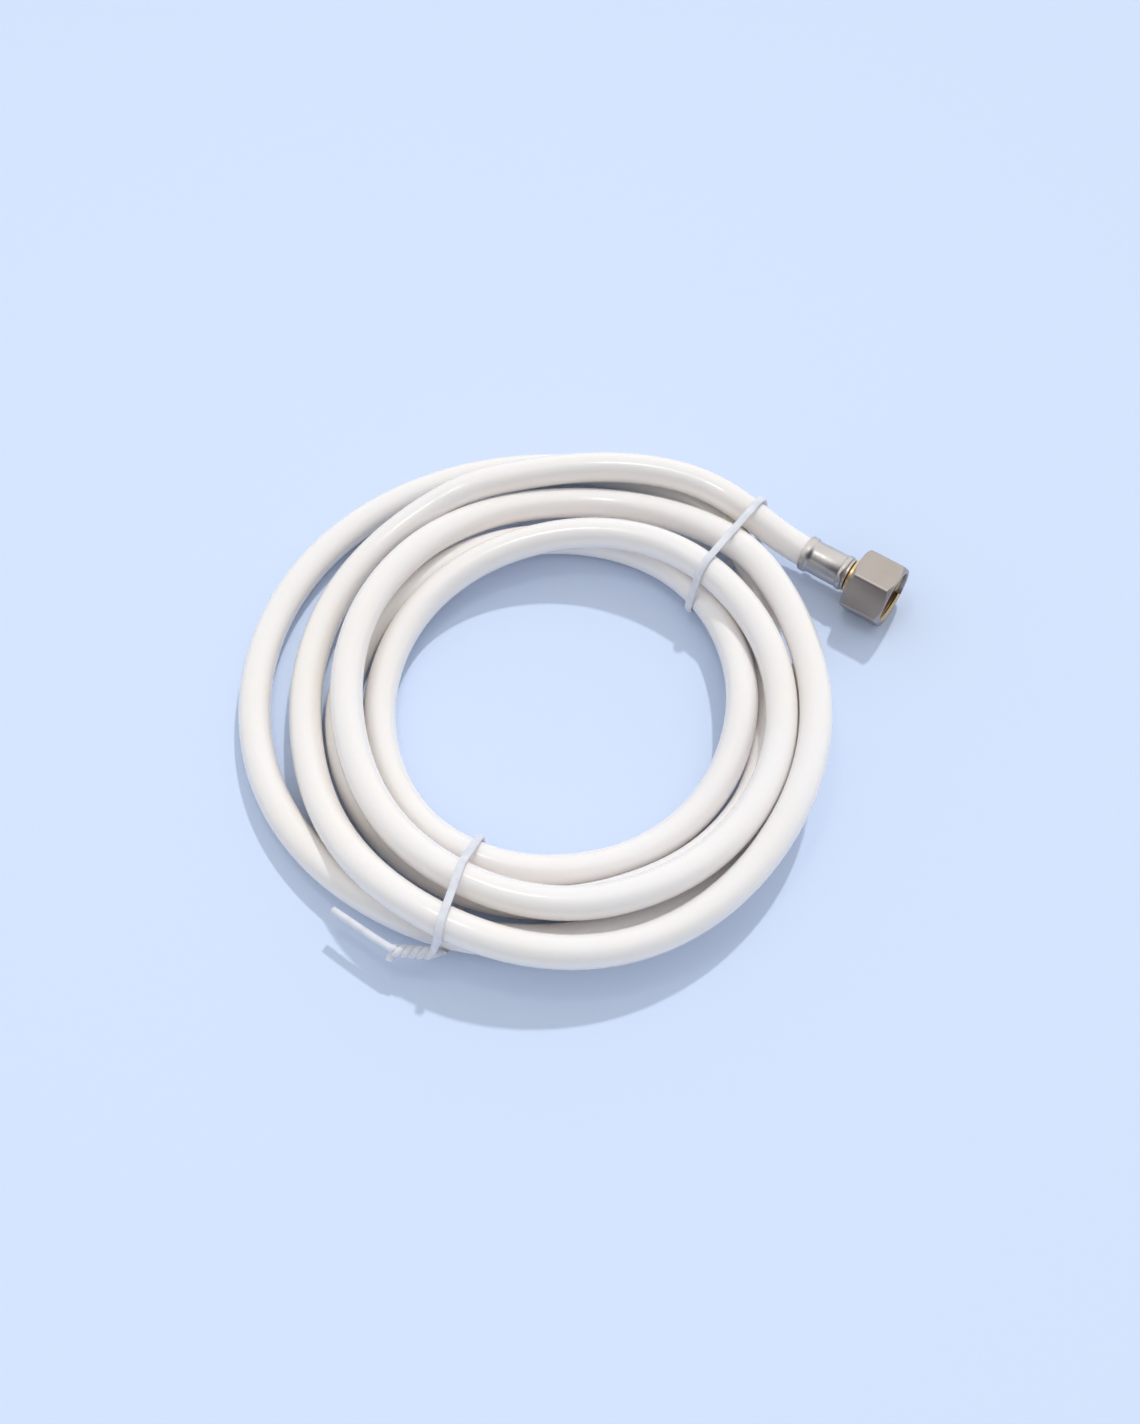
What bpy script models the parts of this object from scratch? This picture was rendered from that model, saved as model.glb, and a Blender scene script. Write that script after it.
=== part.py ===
"""Polyurethane water hose, hand-coiled and tied, with a crimped swivel-nut fitting on one end.

Metres, +Z up. +X runs along the fitting, out of the nut's mouth. The coil and the nut lie on z = 0, and the
origin is under the middle of the whole part.
"""

import math

import bmesh
import bpy
import numpy as np
from mathutils import Vector

MM = 0.001

# Gap between the faces of two pieces that seat on each other
SEAT_GAP = 0.3 * MM

# Hose
HOSE_OUTSIDE = 12.0 * MM
HOSE_WALL = 2.0 * MM
HOSE_SIDES = 12

# Coil: the innermost turn's radius, and the air left between two turns that lie side by side
INNER_TURN_RADIUS = 66.2 * MM
TURN_GAP = 0.4 * MM
STATIONS_PER_TURN = 8
# How far out each eighth of a turn lies, in hose pitches from the innermost turn. The first row starts where the
# straight tail leaves the coil. The first two turns lie on top, and the last three were laid first, on the floor.
LAYS = (
    (3.50, 2.92, 2.78, 2.33, 2.65, 2.85, 2.35, 2.12),
    (2.33, 2.08, 1.42, 1.00, 1.30, 1.55, 1.35, 1.08),
    (0.78, 0.38, 0.24, 0.15, 0.30, 0.02, -0.03, 0.13),
    (0.72, 1.00, 1.22, 1.32, 1.30, 1.08, 1.00, 1.05),
    (3.30, 3.90, 4.22, 3.78, 2.80, 2.05, 2.05),
)
LAST_LAY = 2.15
ROUTE_STEPS_PER_STATION = 15
POINTS_PER_TURN = 24
SETTLING_PASSES = 60

# Straight tail between the coil and the fitting's mouth
TAIL_LENGTH = 41.4 * MM
TAIL_POINTS = 4

# Ferrule: the crimped sleeve that holds the hose on the nipple
FERRULE_LENGTH = 19.8 * MM
FERRULE_WALL = 0.6 * MM
FERRULE_END_PLATE = 1.6 * MM
MOUTH_BEAD_LENGTH = 3.4 * MM
MOUTH_BEAD_RISE = 0.6 * MM
RING_BEAD_LENGTH = 1.3 * MM
RING_BEAD_RISE = 0.35 * MM
CRIMP_SQUEEZE = 0.3 * MM

# Nipple: the brass insert, with a barbed tail in the hose, a ringed neck, and a flange in the nut
NIPPLE_WALL = 0.65 * MM
NIPPLE_SETBACK = 1.6 * MM
BARB_COUNT = 4
BARB_DEPTH = 0.45 * MM
COLLAR_STEP = 0.4 * MM
NECK_DIAMETER = 12.2 * MM
NECK_IN_VIEW = 2.5 * MM
NECK_RING_RISE = 0.8 * MM
NECK_RING_WIDTH = 1.3 * MM
FLANGE_CLEARANCE = 0.5 * MM
FLANGE_THICKNESS = 2.5 * MM
FLANGE_CHAMFER = 0.4 * MM

# Swivel nut
NUT_ACROSS_FLATS = 24.0 * MM
NUT_LENGTH = 16.8 * MM
NUT_WEB = 3.0 * MM
NUT_SOCKET_DIAMETER = 18.6 * MM
NUT_MOUTH_CHAMFER = 1.0 * MM
NUT_CORNER_CHAMFER_LENGTH = 1.7 * MM
NUT_CORNER_CHAMFER_DEPTH = 1.9 * MM
NUT_RUNNING_GAP = 0.35 * MM

# Sealing washer
WASHER_CLEARANCE = 0.4 * MM
WASHER_HOLE = 8.0 * MM
WASHER_THICKNESS = 2.0 * MM

# Twist ties: a plastic-coated wire, once round the whole coil
TIE_WIRE = 2.0 * MM
TIE_CLEARANCE = 0.35 * MM
TIE_LOOP_POINTS = 28
TWIST_GAP = 0.2 * MM
TWIST_PITCH_IN_WIRES = 2.75
TWIST_POINTS_PER_TURN = 8
HOSE_RISE_LEVEL = 9.0
HOSE_RISE_END = 45.0

# Each tie: where it crosses the coil's outside and inside, how far under the coil its loop comes round to the
# twist, the twist's height in hose diameters, its turns, how far it turns away from the coil, and its two loose
# ends as steps of length in wires, turn in degrees and rise in wires
TIES = {
    "twist_tie_front": {
        "outer_angle": 281.5,
        "inner_angle": 277.5,
        "loop_end": -170.0,
        "twist_height": 1.0,
        "twist_turns": 2.5,
        "splay": 17.5,
        "short_end": ((1.6, 70.0, -0.6),),
        "long_end": ((4.0, -28.0, -0.1), (4.5, -2.0, -0.1), (4.5, 0.0, -0.2)),
    },
    "twist_tie_rear": {
        "outer_angle": 81.0,
        "inner_angle": 76.0,
        "loop_end": -120.0,
        "twist_height": 0.0,
        "twist_turns": 1.5,
        "splay": 12.0,
        "short_end": ((1.5, 12.0, 0.3),),
        "long_end": ((1.5, -6.0, -0.2), (1.5, -4.0, -0.2)),
    },
}
LOOP_START = 170.0

TURNED_STEPS = 32
NIPPLE_STEPS = 24

HOSE_RADIUS = HOSE_OUTSIDE / 2
PITCH = HOSE_OUTSIDE + TURN_GAP
SQUEEZED_RADIUS = HOSE_RADIUS - CRIMP_SQUEEZE
# The hose is many-sided, so its bore is measured to the middle of a side
BARB_RADIUS = SQUEEZED_RADIUS * math.cos(math.pi / HOSE_SIDES) - HOSE_WALL - SEAT_GAP
COLLAR_RADIUS = BARB_RADIUS + COLLAR_STEP
NUT_REST_HEIGHT = NUT_ACROSS_FLATS / 2
TIE_REACH = TIE_WIRE / 2 + TIE_CLEARANCE
TWIST_RADIUS = TIE_WIRE / 2 + TWIST_GAP
TWIST_PITCH = TWIST_PITCH_IN_WIRES * TIE_WIRE
HOSE_RISE = TIE_WIRE + TIE_CLEARANCE + SEAT_GAP

# Places along the fitting, from the ferrule's mouth
HOSE_END = FERRULE_LENGTH - FERRULE_END_PLATE - SEAT_GAP
NECK_START = FERRULE_LENGTH + SEAT_GAP
NUT_START = FERRULE_LENGTH + NECK_IN_VIEW
FLANGE_START = NUT_START + NUT_WEB + SEAT_GAP
FLANGE_END = FLANGE_START + FLANGE_THICKNESS
WASHER_START = FLANGE_END + SEAT_GAP


def clear_scene():
    for item in list(bpy.data.objects):
        bpy.data.objects.remove(item, do_unlink=True)


def collection(name):
    made = bpy.data.collections.new(name)
    bpy.context.scene.collection.children.link(made)
    return made


def empty(name, group, parent=None, location=(0, 0, 0), rotation=(0, 0, 0)):
    made = bpy.data.objects.new(name, None)
    made.empty_display_size = 0.01
    made.parent = parent
    made.location = location
    made.rotation_euler = rotation
    group.objects.link(made)
    return made


def material(name, colour, roughness, metallic=0.0):
    made = bpy.data.materials.new(name)
    made.use_nodes = True
    shader = made.node_tree.nodes["Principled BSDF"]
    shader.inputs["Base Color"].default_value = (*colour, 1.0)
    shader.inputs["Roughness"].default_value = roughness
    shader.inputs["Metallic"].default_value = metallic
    made.diffuse_color = (*colour, 1.0)
    return made


# The hose's route

def between_stations(lays, place):
    """A smooth curve through the lays, read at a place counted in stations."""
    first = min(int(place), len(lays) - 2)
    share = place - first
    start, end = lays[first], lays[first + 1]
    slope_in = (end - lays[first - 1]) / 2 if first > 0 else 0.0
    slope_out = (lays[first + 2] - start) / 2 if first + 2 < len(lays) else end - start
    return (
        (1 + 2 * share) * (1 - share) ** 2 * start
        + share * (1 - share) ** 2 * slope_in
        + share * share * (3 - 2 * share) * end
        + share * share * (share - 1) * slope_out
    )


def rise_over_ties(angle):
    """How far the lowest turns are lifted at an angle by the tie wires that pass under them."""
    rise = 0.0
    for tie in TIES.values():
        middle = (tie["outer_angle"] + tie["inner_angle"]) / 2
        away = abs((angle - middle + 180.0) % 360.0 - 180.0)
        share = min(max((HOSE_RISE_END - away) / (HOSE_RISE_END - HOSE_RISE_LEVEL), 0.0), 1.0)
        rise += HOSE_RISE * share * share * (3.0 - 2.0 * share)
    return rise


def settled_heights(angles, radii):
    """Centreline heights of the coil, with each turn resting on the later turns that it crosses."""
    per_turn = STATIONS_PER_TURN * ROUTE_STEPS_PER_STATION
    floor = np.array([HOSE_RADIUS + rise_over_ties(angle) for angle in angles])
    heights = floor.copy()
    for _ in range(SETTLING_PASSES):
        needed = floor.copy()
        for upper in range(len(angles)):
            for lower in range(upper + per_turn, len(angles), per_turn):
                apart = abs(radii[upper] - radii[lower])
                if apart < PITCH:
                    needed[upper] = max(needed[upper], heights[lower] + math.sqrt(PITCH**2 - apart**2))
        eased = np.convolve(np.pad(heights, 2, mode="edge"), (0.1, 0.2, 0.4, 0.2, 0.1), "valid")
        heights = np.maximum(needed, eased)
    return heights


def coil_route():
    """Fine centreline points of the coil, from the tail's end to the hose's free end."""
    lays = [lay for turn in LAYS for lay in turn] + [LAST_LAY]
    places = [step / ROUTE_STEPS_PER_STATION for step in range((len(lays) - 1) * ROUTE_STEPS_PER_STATION + 1)]
    angles = [90.0 + place * 360.0 / STATIONS_PER_TURN for place in places]
    radii = [INNER_TURN_RADIUS + PITCH * between_stations(lays, place) for place in places]
    heights = settled_heights(angles, radii)
    return [
        Vector((radius * math.cos(math.radians(angle)), radius * math.sin(math.radians(angle)), height))
        for angle, radius, height in zip(angles, radii, heights)
    ]


def tail_point(coil_start, along):
    """A point of the tail, whose height eases from the coil's to the fitting's."""
    share = 1.0 - min(along / TAIL_LENGTH, 1.0)
    eased = share * share * (3.0 - 2.0 * share)
    height = NUT_REST_HEIGHT + (coil_start.z - NUT_REST_HEIGHT) * eased
    return Vector((coil_start.x + along, coil_start.y, height))


def hose_line(route):
    """The hose's centreline from its end in the ferrule to its free end, and how far the ferrule squeezes it."""
    every = STATIONS_PER_TURN * ROUTE_STEPS_PER_STATION // POINTS_PER_TURN
    squeeze = SQUEEZED_RADIUS / HOSE_RADIUS
    gripped = [tail_point(route[0], TAIL_LENGTH + along) for along in (HOSE_END, MOUTH_BEAD_LENGTH)]
    free = [tail_point(route[0], TAIL_LENGTH * (TAIL_POINTS - step) / TAIL_POINTS) for step in range(TAIL_POINTS)]
    free += route[::every]
    return gripped + free, [squeeze] * len(gripped) + [1.0] * len(free)


def make_hose(line, scales, group, root, skin):
    """One tube, with the wall grown inwards and both ends cut square."""
    tube = poly_curve("hose", line, HOSE_RADIUS, (HOSE_SIDES - 4) // 2, group, root, skin)
    tube.data.use_fill_caps = False
    for spline_point, scale in zip(tube.data.splines[0].points, scales):
        spline_point.radius = scale
    wall = tube.modifiers.new("wall", "SOLIDIFY")
    wall.thickness = HOSE_WALL
    wall.offset = -1.0
    wall.use_even_offset = True
    return tube


def poly_curve(name, points, radius, resolution, group, parent, skin):
    data = bpy.data.curves.new(name, "CURVE")
    data.dimensions = "3D"
    data.bevel_depth = radius
    data.bevel_resolution = resolution
    data.use_fill_caps = True
    spline = data.splines.new("POLY")
    spline.points.add(len(points) - 1)
    for spline_point, point in zip(spline.points, points):
        spline_point.co = (*point, 1.0)
    spline.use_smooth = True
    made = bpy.data.objects.new(name, data)
    made.parent = parent
    data.materials.append(skin)
    group.objects.link(made)
    return made


# The end fitting, turned about its own Z, which lies along the part's X

def turned(name, profile, steps, group, parent, location=(0, 0, 0), skin=None):
    """A ring or plug from a closed profile of (radius, height) that runs down its outer side."""
    mesh = bpy.data.meshes.new(name)
    corners = [(radius, 0.0, height) for radius, height in profile]
    edges = [(index, (index + 1) % len(corners)) for index in range(len(corners))]
    mesh.from_pydata(corners, edges, [])
    made = bpy.data.objects.new(name, mesh)
    made.parent = parent
    made.location = location
    group.objects.link(made)
    screw = made.modifiers.new("turn", "SCREW")
    screw.axis = "Z"
    screw.angle = math.tau
    screw.steps = steps
    screw.render_steps = steps
    screw.use_merge_vertices = True
    screw.merge_threshold = 0.00001
    screw.use_smooth_shade = True
    if skin:
        mesh.materials.append(skin)
    return made


def make_ferrule(group, axis, skin):
    inside = SQUEEZED_RADIUS + SEAT_GAP
    mouth = HOSE_RADIUS + SEAT_GAP
    outside = inside + FERRULE_WALL
    bead = outside + MOUTH_BEAD_RISE
    ring = outside + RING_BEAD_RISE
    plate_hole = COLLAR_RADIUS + SEAT_GAP
    plate_start = FERRULE_LENGTH - FERRULE_END_PLATE
    edge = FERRULE_WALL / 2
    profile = [
        (plate_hole, FERRULE_LENGTH),
        (outside - edge, FERRULE_LENGTH),
        (outside, FERRULE_LENGTH - edge),
    ]
    # Two raised rings at the nut's end, with a groove between them
    for number in (0, 1):
        top = FERRULE_LENGTH - edge - RING_BEAD_LENGTH * (0.6 + 1.7 * number)
        profile += [
            (outside, top),
            (ring, top - RING_BEAD_LENGTH * 0.3),
            (ring, top - RING_BEAD_LENGTH * 0.7),
            (outside, top - RING_BEAD_LENGTH),
        ]
    profile += [
        (outside, MOUTH_BEAD_LENGTH),
        (bead, MOUTH_BEAD_LENGTH * 0.75),
        (bead, MOUTH_BEAD_LENGTH * 0.2),
        (bead - MOUTH_BEAD_RISE / 2, 0.0),
        (mouth, 0.0),
        (mouth, MOUTH_BEAD_LENGTH * 0.55),
        (inside, MOUTH_BEAD_LENGTH * 0.85),
        (inside, plate_start),
        (plate_hole, plate_start),
    ]
    return turned("ferrule", profile, TURNED_STEPS, group, axis, skin=skin)


def make_nipple(group, axis, skin):
    valley = BARB_RADIUS - BARB_DEPTH
    bore = valley - NIPPLE_WALL
    neck = NECK_DIAMETER / 2
    ring = neck + NECK_RING_RISE
    ring_start = FERRULE_LENGTH + (NECK_IN_VIEW - NECK_RING_WIDTH) / 2
    flange = NUT_SOCKET_DIAMETER / 2 - FLANGE_CLEARANCE
    pitch = (HOSE_END - NIPPLE_SETBACK) / (BARB_COUNT + 0.5)
    profile = [
        (bore, FLANGE_END),
        (flange - FLANGE_CHAMFER, FLANGE_END),
        (flange, FLANGE_END - FLANGE_CHAMFER),
        (flange, FLANGE_START),
        (neck, FLANGE_START),
        (neck, ring_start + NECK_RING_WIDTH),
        (ring, ring_start + NECK_RING_WIDTH),
        (ring, ring_start),
        (neck, ring_start),
        (neck, NECK_START),
        (COLLAR_RADIUS, NECK_START),
        (COLLAR_RADIUS, HOSE_END + SEAT_GAP),
        (valley, HOSE_END),
    ]
    for number in range(BARB_COUNT):
        step = HOSE_END - pitch * (number + 0.5)
        profile += [(valley, step), (BARB_RADIUS, step), (valley, step - pitch * 0.8)]
    profile += [(valley, NIPPLE_SETBACK), (bore, NIPPLE_SETBACK)]
    return turned("nipple", profile, NIPPLE_STEPS, group, axis, skin=skin)


def make_washer(group, axis, skin):
    outer = NUT_SOCKET_DIAMETER / 2 - WASHER_CLEARANCE
    inner = WASHER_HOLE / 2
    end = WASHER_START + WASHER_THICKNESS
    profile = [(inner, end), (outer, end), (outer, WASHER_START), (inner, WASHER_START)]
    return turned("sealing_washer", profile, TURNED_STEPS, group, axis, skin=skin)


def cut(target, cutter, operation):
    cutter.hide_render = True
    cutter.display_type = "WIRE"
    step = target.modifiers.new(cutter.name, "BOOLEAN")
    step.object = cutter
    step.operation = operation
    step.solver = "EXACT"


def make_nut(group, cutters, axis, skin):
    """A hexagonal bar end, chamfered at its corners, with a clear hole in its web and a wide socket."""
    corner = NUT_ACROSS_FLATS / math.sqrt(3)
    shape = bmesh.new()
    bmesh.ops.create_cone(
        shape, cap_ends=True, segments=6, radius1=corner, radius2=corner, depth=NUT_LENGTH
    )
    mesh = bpy.data.meshes.new("swivel_nut")
    shape.to_mesh(mesh)
    shape.free()
    mesh.materials.append(skin)
    nut = bpy.data.objects.new("swivel_nut", mesh)
    nut.parent = axis
    nut.location = (0, 0, NUT_START + NUT_LENGTH / 2)
    group.objects.link(nut)

    half = NUT_LENGTH / 2
    rim = corner - NUT_CORNER_CHAMFER_DEPTH
    waist = corner + SEAT_GAP
    past = half + SEAT_GAP
    rounding = turned(
        "nut_corner_rounding",
        [
            (0.0, past),
            (rim, past),
            (rim, half),
            (waist, half - NUT_CORNER_CHAMFER_LENGTH),
            (waist, NUT_CORNER_CHAMFER_LENGTH - half),
            (rim, -half),
            (rim, -past),
            (0.0, -past),
        ],
        TURNED_STEPS,
        cutters,
        axis,
        nut.location,
    )
    cut(nut, rounding, "INTERSECT")

    socket = NUT_SOCKET_DIAMETER / 2
    hole = NECK_DIAMETER / 2 + NUT_RUNNING_GAP
    floor = NUT_WEB - half
    inside = turned(
        "nut_socket",
        [
            (0.0, past),
            (socket + NUT_MOUTH_CHAMFER + SEAT_GAP, past),
            (socket + NUT_MOUTH_CHAMFER, half),
            (socket, half - NUT_MOUTH_CHAMFER),
            (socket, floor),
            (hole, floor),
            (hole, -past),
            (0.0, -past),
        ],
        TURNED_STEPS,
        cutters,
        axis,
        nut.location,
    )
    cut(nut, inside, "DIFFERENCE")
    return nut


# The twist ties

def crossings(line, outer, inner):
    """Where the hose passes through a tie's upright plane: distance inwards, height and half the slanted width."""
    inward = (inner - outer).normalized()
    normal = Vector((-inward.y, inward.x, 0.0))
    found = []
    for start, end in zip(line, line[1:]):
        before, after = (start - outer).dot(normal), (end - outer).dot(normal)
        if before * after > 0.0 or before == after:
            continue
        share = before / (before - after)
        place = start.lerp(end, share)
        inwards = (place - outer).dot(inward)
        if inwards < (inner - outer).length + INNER_TURN_RADIUS / 2:
            slant = abs((end - start).normalized().dot(normal))
            found.append((inwards, place.z, HOSE_RADIUS / slant))
    return found


def tie_loop(line, tie):
    """The wire round all the hose's crossings, pulled tight, from the coil's outside over the top and back under."""
    outer = polar(INNER_TURN_RADIUS + PITCH * LAYS[0][0], tie["outer_angle"])
    inner = polar(INNER_TURN_RADIUS, tie["inner_angle"])
    inward = (inner - outer).normalized()
    found = crossings(line, outer, inner)
    points = []
    for step in range(TIE_LOOP_POINTS):
        angle = math.radians(LOOP_START + (tie["loop_end"] - LOOP_START) * step / (TIE_LOOP_POINTS - 1))
        across, up = math.cos(angle), math.sin(angle)
        inwards, height, half = max(
            found,
            key=lambda spot: spot[0] * across + spot[1] * up + math.hypot(spot[2] * across, HOSE_RADIUS * up),
        )
        reach = math.hypot(half * across, HOSE_RADIUS * up)
        inwards += (half * half / reach + TIE_REACH) * across
        height += (HOSE_RADIUS * HOSE_RADIUS / reach + TIE_REACH) * up
        points.append(outer + inward * inwards + Vector((0.0, 0.0, height)))
    return points


def polar(radius, angle):
    return Vector((radius * math.cos(math.radians(angle)), radius * math.sin(math.radians(angle)), 0.0))


def loose_end(place, heading, steps):
    """Points of a tie's loose end, from steps of length and rise in wires and of turn in degrees."""
    made = []
    for length, turn, rise in steps:
        heading += math.radians(turn)
        place = place + Vector((math.cos(heading) * length, math.sin(heading) * length, rise)) * TIE_WIRE
        made.append(place)
    return made


def make_tie(name, tie, line, group, parent, skin):
    """One wire: a short end, the twist, the loop round the coil, the twist again and the long end."""
    loop = tie_loop(line, tie)
    height = max(tie["twist_height"] * HOSE_OUTSIDE, TWIST_RADIUS + TIE_WIRE / 2 + SEAT_GAP)
    heading = math.radians(tie["outer_angle"] - 90.0 + tie["splay"])
    along = Vector((math.cos(heading), math.sin(heading), 0.0))
    side = Vector((-along.y, along.x, 0.0))
    outward = polar(1.0, tie["outer_angle"])
    foot = max(loop[0], loop[-1], key=outward.dot)
    root = Vector((foot.x, foot.y, height)) + outward * TIE_WIRE / 2 + along * TIE_WIRE
    steps = round(tie["twist_turns"] * TWIST_POINTS_PER_TURN)

    def strand(phase):
        made = []
        for step in range(steps + 1):
            turn = math.tau * step / TWIST_POINTS_PER_TURN
            offset = Vector((0.0, 0.0, math.cos(turn + phase))) + side * math.sin(turn + phase)
            made.append(root + along * (TWIST_PITCH * step / TWIST_POINTS_PER_TURN) + offset * TWIST_RADIUS)
        return made

    upper, lower = strand(0.0), strand(math.pi)
    short_end = loose_end(upper[-1], heading, tie["short_end"])
    long_end = loose_end(lower[-1], heading, tie["long_end"])
    points = short_end[::-1] + upper[::-1] + loop + lower + long_end
    return poly_curve(name, points, TIE_WIRE / 2, 2, group, parent, skin)


def set_on_origin(root, pieces):
    """Moves the root so that z = 0 is the lowest point and the origin is under the middle of the box."""
    bpy.context.view_layer.update()
    depsgraph = bpy.context.evaluated_depsgraph_get()
    low, high = Vector((math.inf,) * 3), Vector((-math.inf,) * 3)
    for piece in pieces:
        shown = piece.evaluated_get(depsgraph)
        mesh = shown.to_mesh()
        for vertex in mesh.vertices:
            place = piece.matrix_world @ vertex.co
            low = Vector(map(min, low, place))
            high = Vector(map(max, high, place))
        shown.to_mesh_clear()
    root.location = (-(low.x + high.x) / 2, -(low.y + high.y) / 2, -low.z)


def main():
    clear_scene()
    group = collection("polyurethane_hose")
    cutters = collection("cutters")
    white = material("hose_white", (0.86, 0.84, 0.79), 0.25)
    steel = material("ferrule_steel", (0.62, 0.61, 0.59), 0.3, 1.0)
    brass = material("nipple_brass", (0.55, 0.40, 0.20), 0.35, 1.0)
    nickel = material("nut_nickel", (0.56, 0.53, 0.49), 0.28, 1.0)
    rubber = material("washer_rubber", (0.03, 0.03, 0.03), 0.7)
    tie_white = material("tie_white", (0.82, 0.83, 0.86), 0.5)

    root = empty("coil_centre", group)
    route = coil_route()
    mouth = tail_point(route[0], TAIL_LENGTH)
    axis = empty("fitting_axis", group, root, mouth, (0.0, math.radians(90.0), 0.0))

    line, scales = hose_line(route)
    pieces = [
        make_hose(line, scales, group, root, white),
        make_ferrule(group, axis, steel),
        make_nipple(group, axis, brass),
        make_washer(group, axis, rubber),
        make_nut(group, cutters, axis, nickel),
    ]
    for name, tie in TIES.items():
        pieces.append(make_tie(name, tie, line, group, root, tie_white))
    set_on_origin(root, pieces)


main()
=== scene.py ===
"""Dressed model of a hand-coiled polyurethane water hose with its swivel-nut fitting and its two ties."""

import math

import bmesh
import bpy
import numpy as np
from bpy.props import FloatProperty, FloatVectorProperty, IntProperty, PointerProperty
from mathutils import Matrix, Vector


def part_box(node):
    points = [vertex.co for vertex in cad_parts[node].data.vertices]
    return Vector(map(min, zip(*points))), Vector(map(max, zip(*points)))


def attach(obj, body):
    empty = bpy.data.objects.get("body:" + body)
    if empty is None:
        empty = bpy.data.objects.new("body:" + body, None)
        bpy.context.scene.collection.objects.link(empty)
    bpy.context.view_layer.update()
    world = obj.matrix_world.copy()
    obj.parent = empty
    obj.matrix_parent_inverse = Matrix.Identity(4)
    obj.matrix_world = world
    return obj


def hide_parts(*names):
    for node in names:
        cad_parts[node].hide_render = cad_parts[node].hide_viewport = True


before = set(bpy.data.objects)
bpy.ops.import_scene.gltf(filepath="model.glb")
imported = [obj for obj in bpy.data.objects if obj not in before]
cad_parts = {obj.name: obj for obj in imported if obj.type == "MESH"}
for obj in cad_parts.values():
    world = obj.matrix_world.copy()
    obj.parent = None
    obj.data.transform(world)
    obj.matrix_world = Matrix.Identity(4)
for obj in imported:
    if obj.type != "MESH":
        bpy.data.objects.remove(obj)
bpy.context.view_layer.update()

bl_info = {
    "name": "Coiled hose with a swivel nut",
    "version": (1, 0, 0),
    "blender": (4, 5, 0),
    "location": "View3D > Sidebar > Hose",
    "description": "Builds a coiled water hose with its crimped fitting, its swivel nut and its ties",
    "category": "Add Mesh",
}

MM = 0.001

# Where the frame's pieces are
FERRULE_LOW, FERRULE_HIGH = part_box("ferrule")
NUT_LOW, NUT_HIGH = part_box("swivel_nut")
WASHER_LOW, WASHER_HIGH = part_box("sealing_washer")
NIPPLE_LOW, NIPPLE_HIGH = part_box("nipple")
AXIS_Y = (NUT_LOW.y + NUT_HIGH.y) / 2
AXIS_Z = (NUT_LOW.z + NUT_HIGH.z) / 2
MOUTH = Vector((FERRULE_LOW.x, AXIS_Y, AXIS_Z))

# The coil's lays, eight to a turn, in hose pitches from the innermost turn. The first row leaves the tail.
LAYS = (
    (3.50, 2.92, 2.78, 2.33, 2.65, 2.85, 2.35, 2.12),
    (2.33, 2.08, 1.42, 1.00, 1.30, 1.55, 1.35, 1.08),
    (0.78, 0.38, 0.24, 0.15, 0.30, 0.02, -0.03, 0.13),
    (0.72, 1.00, 1.22, 1.32, 1.30, 1.08, 1.00, 1.05),
    (3.30, 3.90, 4.22, 3.78, 2.80, 2.05, 2.05),
)
LAST_LAY = 2.15
STATIONS_PER_TURN = 8
STEPS_PER_STATION = 15

# How the turns settle on each other, and over how many degrees they rise over a tie
SETTLING_PASSES = 60
EASING = (0.1, 0.2, 0.4, 0.2, 0.1)
RISE_LEVEL = 9.0
RISE_END = 45.0

# The tail's points, and how the hose narrows inside the ferrule
TAIL_STEPS = 12
SQUEEZED = 0.95
SQUEEZE_START = 2.0 * MM

# The ties' wire, its gap to what it rests on, and its clearance round the hose
SEAT_GAP = 0.3 * MM
TIE_WIRE = 2.0 * MM
TIE_CLEARANCE = 0.35 * MM

# Each tie's crossings of the coil, its twist, and its two loose ends as steps of length in wires, turn in
# degrees and rise in wires
TIES = {
    "twist_tie_front": {
        "outer_angle": 281.5,
        "inner_angle": 277.5,
        "loop_end": -170.0,
        "twist_height": 1.0,
        "twist_turns": 2.5,
        "splay": 17.5,
        "short_end": ((1.6, 70.0, -0.6),),
        "long_end": ((4.0, -28.0, -0.1), (4.5, -2.0, -0.1), (4.5, 0.0, -0.2)),
    },
    "twist_tie_rear": {
        "outer_angle": 81.0,
        "inner_angle": 76.0,
        "loop_end": -120.0,
        "twist_height": 0.0,
        "twist_turns": 1.5,
        "splay": 12.0,
        "short_end": ((1.5, 12.0, 0.3),),
        "long_end": ((1.5, -6.0, -0.2), (1.5, -4.0, -0.2)),
    },
}

# Where a tie's loop starts, its twist's pitch in wires, and how finely both are drawn
LOOP_START = 170.0
LOOP_STEPS = 90
TWIST_PITCH = 2.75
TWIST_STEPS = 16
RIBBON_SPACING = 0.35 * MM
RIBBON_SIDES = 20

# A radius that closes a spun shape on its axis
ON_AXIS = 0.0005 * MM

# Where the camera looks from, in degrees, and what it looks at, as steps from the coil's centre
VIEW_AZIMUTH = 34.0
VIEW_ELEVATION = 60.0
TARGET_RIGHT = 3.1 * MM
TARGET_AWAY = 2.1 * MM

# Where the lamps stand from the target, as steps to the right, away and up
MAIN_LAMP = (0.3, 0.74, 1.0)
SOFTBOX = (-0.12, 0.1, 0.9)


def length(name, description, default, **more):
    """A length in millimetres that the panel shows and a user can change."""
    return FloatProperty(name=name, description=description, default=default, min=0.0, **more)


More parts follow.
